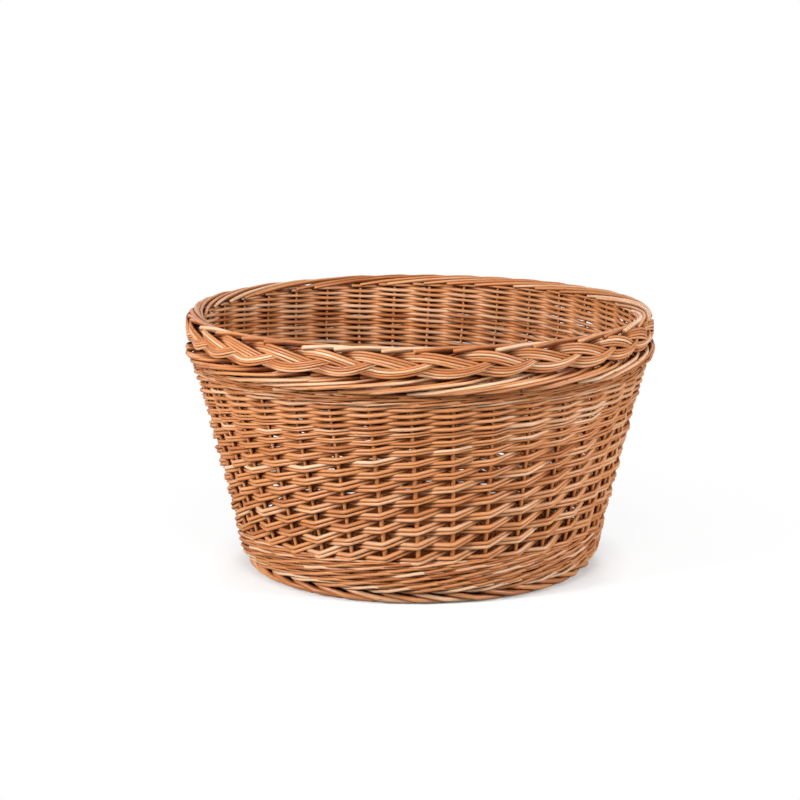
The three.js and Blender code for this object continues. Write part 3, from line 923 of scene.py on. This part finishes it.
def stickRod(bundle, path, thickness, rng, **look):
    addRod(bundle, path, thickness, rng, sides=sticks["sides"], facing=(0, 0, 1), **look)


rng = np.random.default_rng(sticks["seed"])
for number in range(sticks["through"]):
    bundle = newBundle()
    path = fannedStick(number - (sticks["through"] - 1) / 2, sticks["throughTurn"])
    stickRod(bundle, path, sticks["across"], rng)
    makePiece(f"baseStickThrough{number + 1}", bundle, "baseWillow",
              [f"base_stick_through_{number + 1}"])
splitEnd = (sticks["through"] - 1) / 2 * sticks["pitch"] + sticks["pitch"] / 2
reach = splitEnd + sticks["splitRun"]
spreadRun, spreadLeast = sticks["cheekEnds"]
for number in range(sticks["pierced"]):
    bundle = newBundle()
    place = number - (sticks["pierced"] - 1) / 2
    beside = place * sticks["pitch"]
    turn = sticks["throughTurn"] + 90
    path = fannedStick(place, turn)
    for side in (-1, 1):
        half = path[:4] if side < 0 else path[:4:-1]
        inner = turnedPoint(np.array([side * (splitEnd + 1)]), np.array([beside]), turn, sticks["level"])
        stickRod(bundle, np.concatenate([half, inner]), sticks["across"], rng, tone=0.5)
    for side in (-1, 1):
        along = np.linspace(-reach, reach, 15)
        spread = np.clip((reach - 1 - np.abs(along)) / spreadRun, spreadLeast, 1)
        cheek = turnedPoint(along, np.full_like(along, beside), turn, sticks["level"])
        cheek[:, 2] += side * (sticks["across"] / 2 + sticks["cheek"] / 2) * spread
        stickRod(bundle, cheek, sticks["across"] * sticks["cheekAcross"], rng, tone=0.5, squeeze=0.5)
    makePiece(f"baseStickPierced{number + 1}", bundle, "baseWillow",
              [f"base_stick_pierced_{number + 1}"])
print("base sticks:", sticks["pierced"] + sticks["through"])


def pairedSpiral(settings):
    # Two rods that twist round each other between the sticks and spiral outward
    rng = np.random.default_rng(settings["seed"])
    bundle = newBundle()
    turns = (settings["toRadius"] - settings["fromRadius"]) / settings["pitch"]
    places = np.arange(0, turns * settings["sticks"], 1 / settings["ringsPerStick"])
    steps = np.arange(int(places[-1]) + 2)
    for member in range(2):
        swing = np.pi * (places + member)
        lift = np.clip(settings["flat"] * np.cos(swing), -1, 1) * settings["lift"]
        side = np.sin(swing) * settings["twist"]
        radius = settings["fromRadius"] + settings["pitch"] * places / settings["sticks"] + side
        angle = np.radians(sticks["throughTurn"] + places * 360 / settings["sticks"])
        sway = np.interp(places, steps, rng.normal(0, settings["sway"], len(steps)))
        path = ringPoints(radius + sway, angle, sticks["level"] + lift)
        addRod(bundle, path, settings["across"], rng, sides=settings["sides"], facing=(0, 0, 1),
               depth=lift / settings["lift"], shade=settings["shade"])
    return bundle


# Slath binding: ties the cross, round four bundles of sticks
slath = {
    "sticks": 4,
    "fromRadius": 32.5,
    "toRadius": 46.5,
    "pitch": 4.0,
    "ringsPerStick": 18,
    "flat": 1.7,  # above 1, the rods run level over the sticks
    "lift": 5.3,
    "twist": 1.0,
    "across": 3.1,
    "sway": 0.25,
    # painted shade over the whole base, which lies deep inside the basket
    "shade": 0.5,
    "sides": 8,
    "seed": 89,
}
makePiece("slathBinding", pairedSpiral(slath), "baseWillow", ["slath_binding"])

# Base weave: pairing round every stick end, out to the wall
baseWeave = {
    **slath,
    "sticks": basket["baseEnds"],
    "fromRadius": slath["toRadius"],
    "toRadius": 180.0,
    "pitch": 5.0,
    "ringsPerStick": 6,
    "flat": 1.15,
    "lift": 5.0,
    "twist": 1.3,
    "across": 4.0,
    "seed": 97,
}
makePiece("baseWeave", pairedSpiral(baseWeave), "baseWillow", ["base_weave"])
print("base woven out to", baseWeave["toRadius"])

# Studio: pale floor, softboxes at both sides, overhead and behind, white all round
studio = {
    "floorSize": 14.0,
    "floorColour": (0.94, 0.94, 0.94, 1),
    "floorBounce": (0.4, 0.4, 0.4, 1),  # the floor as the basket sees it, so that shadows stay deep
    "shadeFrom": 0.17,  # metres out from the middle, where the floor starts to fade to white
    "paleFrom": 0.235,
    "pale": (0.85, 0.85, 0.85, 1),
    "whiteFrom": 0.6,
    "worldLight": 0.05,
    "lamps": [  # place, side, watts and whether it shines back from glossy rods
        ("leftSoftbox", (-2.0, -1.4, 1.1), 0.7, 86.0, True),
        ("rightSoftbox", (2.2, -1.1, 1.0), 0.7, 60.0, True),
        ("topSoftbox", (0.0, -1.5, 2.1), 0.8, 20.0, True),
        ("backFill", (0.2, 2.3, 1.2), 0.9, 34.0, False),
    ],
    "aim": (0.0, 0.0, 0.14),
}


def makeFloor():
    size = studio["floorSize"] / 2
    mesh = bpy.data.meshes.new("studioFloor")
    corners = [(-size, -size, 0), (size, -size, 0), (size, size, 0), (-size, size, 0)]
    mesh.from_pydata(corners, [], [(0, 1, 2, 3)])
    floor = bpy.data.objects.new("studioFloor", mesh)
    bpy.context.scene.collection.objects.link(floor)
    material = bpy.data.materials.new("studioFloorPaint")
    material.use_nodes = True
    tree = material.node_tree
    link = tree.links.new
    paint = tree.nodes["Principled BSDF"]
    paint.inputs["Roughness"].default_value = 0.9
    paint.inputs["Specular IOR Level"].default_value = 0.0
    white = addNode(tree, "ShaderNodeEmission", (0, -300))
    rays = addNode(tree, "ShaderNodeLightPath", (-600, 400))
    tint = addNode(tree, "ShaderNodeMix", (-200, 600), data_type="RGBA")
    tint.inputs[6].default_value = studio["floorBounce"]
    tint.inputs[7].default_value = studio["floorColour"]
    link(rays.outputs["Is Camera Ray"], tint.inputs[0])
    link(tint.outputs[2], paint.inputs["Base Color"])
    place = addNode(tree, "ShaderNodeNewGeometry", (-800, 0))
    far = addNode(tree, "ShaderNodeVectorMath", (-600, 0), operation="LENGTH")
    fade = addNode(tree, "ShaderNodeValToRGB", (-400, 0))
    ramp = fade.color_ramp
    ramp.elements[0].position, ramp.elements[1].position = studio["shadeFrom"], studio["whiteFrom"]
    between = ramp.elements.new(studio["paleFrom"])
    between.color = studio["pale"]
    seen = addNode(tree, "ShaderNodeMath", (-200, 300), operation="MULTIPLY")
    mix = addNode(tree, "ShaderNodeMixShader", (300, 0))
    link(place.outputs["Position"], far.inputs[0])
    link(far.outputs["Value"], fade.inputs["Fac"])
    link(rays.outputs["Is Camera Ray"], seen.inputs[0])
    link(fade.outputs[0], seen.inputs[1])
    link(seen.outputs[0], mix.inputs[0])
    link(paint.outputs[0], mix.inputs[1])
    link(white.outputs[0], mix.inputs[2])
    link(mix.outputs[0], tree.nodes["Material Output"].inputs["Surface"])
    mesh.materials.append(material)


def makeWorld():
    world = bpy.data.worlds.new("studioWorld")
    world.use_nodes = True
    tree = world.node_tree
    link = tree.links.new
    sky = tree.nodes["Background"]
    rays = addNode(tree, "ShaderNodeLightPath", (-700, 200))
    seen = addNode(tree, "ShaderNodeMath", (-500, 200), operation="MAXIMUM")
    seenOrMirrored = addNode(tree, "ShaderNodeMath", (-400, 200), operation="MAXIMUM")
    level = addNode(tree, "ShaderNodeMapRange", (-200, 200))
    setInputs(level, To_Min=studio["worldLight"], To_Max=1.0)
    link(rays.outputs["Is Camera Ray"], seen.inputs[0])
    link(rays.outputs["Is Transmission Ray"], seen.inputs[1])
    link(seen.outputs[0], seenOrMirrored.inputs[0])
    link(rays.outputs["Is Glossy Ray"], seenOrMirrored.inputs[1])
    link(seenOrMirrored.outputs[0], level.inputs["Value"])
    link(level.outputs[0], sky.inputs["Strength"])
    sky.inputs["Color"].default_value = (1, 1, 1, 1)
    bpy.context.scene.world = world


def makeLamps():
    aim = np.array(studio["aim"])
    for name, place, size, power, shines in studio["lamps"]:
        lamp = bpy.data.lights.new(name, "AREA")
        lamp.size = size
        lamp.energy = power
        holder = bpy.data.objects.new(name, lamp)
        holder.location = place
        holder.visible_glossy = shines
        x, y, z = aim - np.array(place)
        holder.rotation_euler = (math.atan2(math.hypot(x, y), -z), 0, math.atan2(-x, y))
        bpy.context.scene.collection.objects.link(holder)


makeFloor()
makeWorld()
makeLamps()
print("studio lit with", len(studio["lamps"]), "lamps")

view = {
    "place": (0.0, -2.385, 0.659),
    "pitch": 11.45,  # degrees below level
    "focalPixels": 2244.0,
    "pictureWidth": 800,
    "axisPixel": 419.9,  # where the basket's axis stands in the picture
    "sensor": 36.0,
}
lens = bpy.data.cameras.new("photoCamera")
lens.sensor_width = view["sensor"]
lens.lens = view["focalPixels"] * view["sensor"] / view["pictureWidth"]
lens.shift_x = (view["pictureWidth"] / 2 - view["axisPixel"]) / view["pictureWidth"]
camera = bpy.data.objects.new("photoCamera", lens)
camera.location = view["place"]
camera.rotation_euler = (math.radians(90 - view["pitch"]), 0, 0)
bpy.context.scene.collection.objects.link(camera)
bpy.context.scene.camera = camera
bpy.context.scene.view_settings.view_transform = "Standard"
